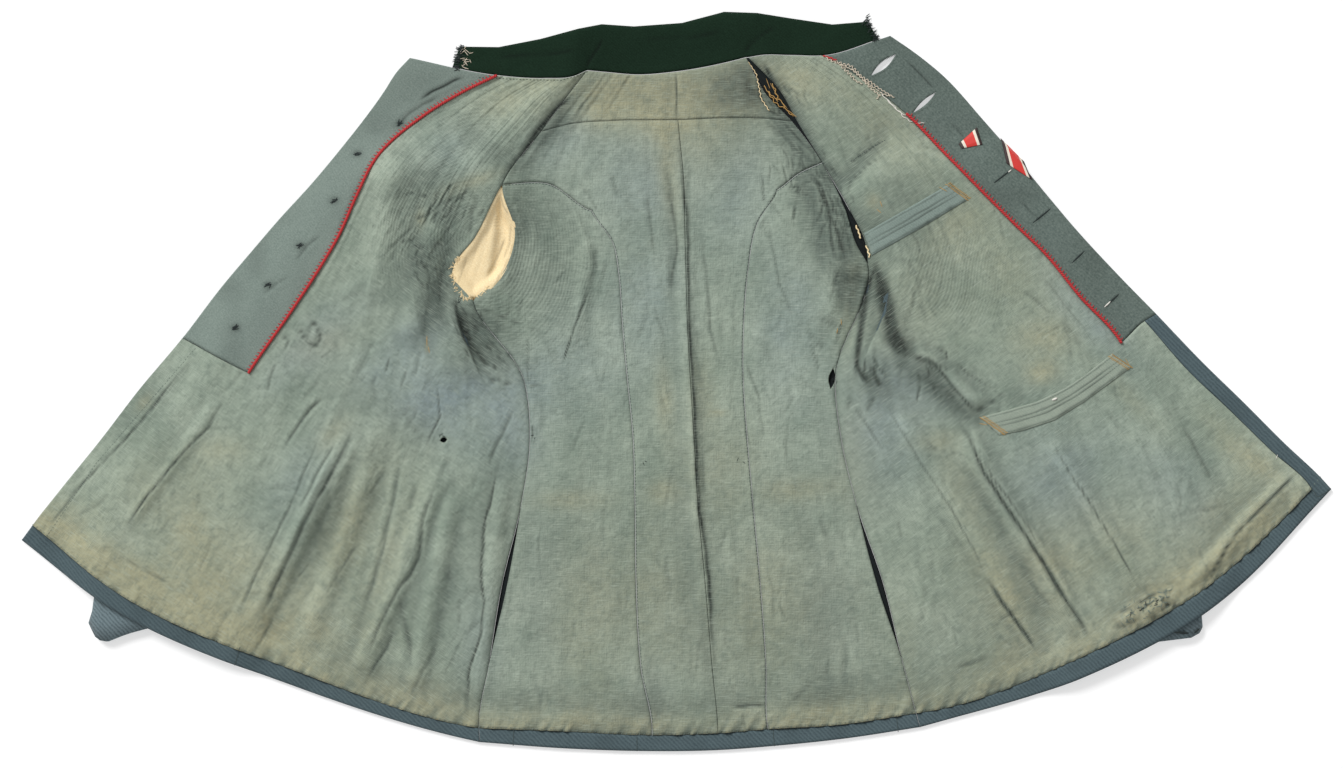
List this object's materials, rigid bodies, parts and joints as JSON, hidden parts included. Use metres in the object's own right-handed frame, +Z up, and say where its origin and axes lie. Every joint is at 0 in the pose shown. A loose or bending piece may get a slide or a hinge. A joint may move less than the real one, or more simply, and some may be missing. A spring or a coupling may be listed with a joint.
{
  "type": "cavalry tunic",
  "caption": "Wool riding tunic laid open on its back, lining up, with standing collar, facings, inside pockets and flattened sleeves.",
  "frame": {"origin": "middle of the bounding box in plan, on the surface that the tunic lies on", "axes": "+X across the opened tunic towards the wearer's left front edge, +Y towards the collar, +Z up, out of the lining"},
  "size_m": [1.3488, 0.7627, 0.0268],
  "materials": {
    "wool": "milled field-grey wool",
    "facing_wool": "milled field-grey wool, brushed nap",
    "lining_cotton": "plain-weave cotton, faded and stained",
    "collar_wool": "bottle-green badge cloth",
    "edging": "twisted red cord",
    "ribbon": "ribbed silk ribbon with white and black edges"
  },
  "bodies": {
    "root": {"shell_back": "wool", "shell_side_right": "wool", "shell_side_left": "wool", "shell_front_right": "wool", "shell_front_left": "wool", "sleeve_right": "wool", "sleeve_left": "wool", "hem_front_right": "facing_wool", "hem_back": "facing_wool", "hem_front_left": "facing_wool", "facing_right": "facing_wool", "facing_left": "facing_wool", "lining_front_right": "lining_cotton", "lining_front_left": "lining_cotton", "lining_side_right": "lining_cotton", "lining_side_left": "lining_cotton", "lining_back_right": "lining_cotton", "lining_back_left": "lining_cotton", "lining_yoke": "lining_cotton", "collar": "collar_wool", "edging_cord_right": "edging", "edging_cord_left": "edging", "pocket_welt_breast": "lining_cotton", "pocket_welt_waist": "lining_cotton", "ribbon_buttonhole_end": "ribbon", "ribbon_edge_end": "ribbon"}
  },
  "joints": []
}
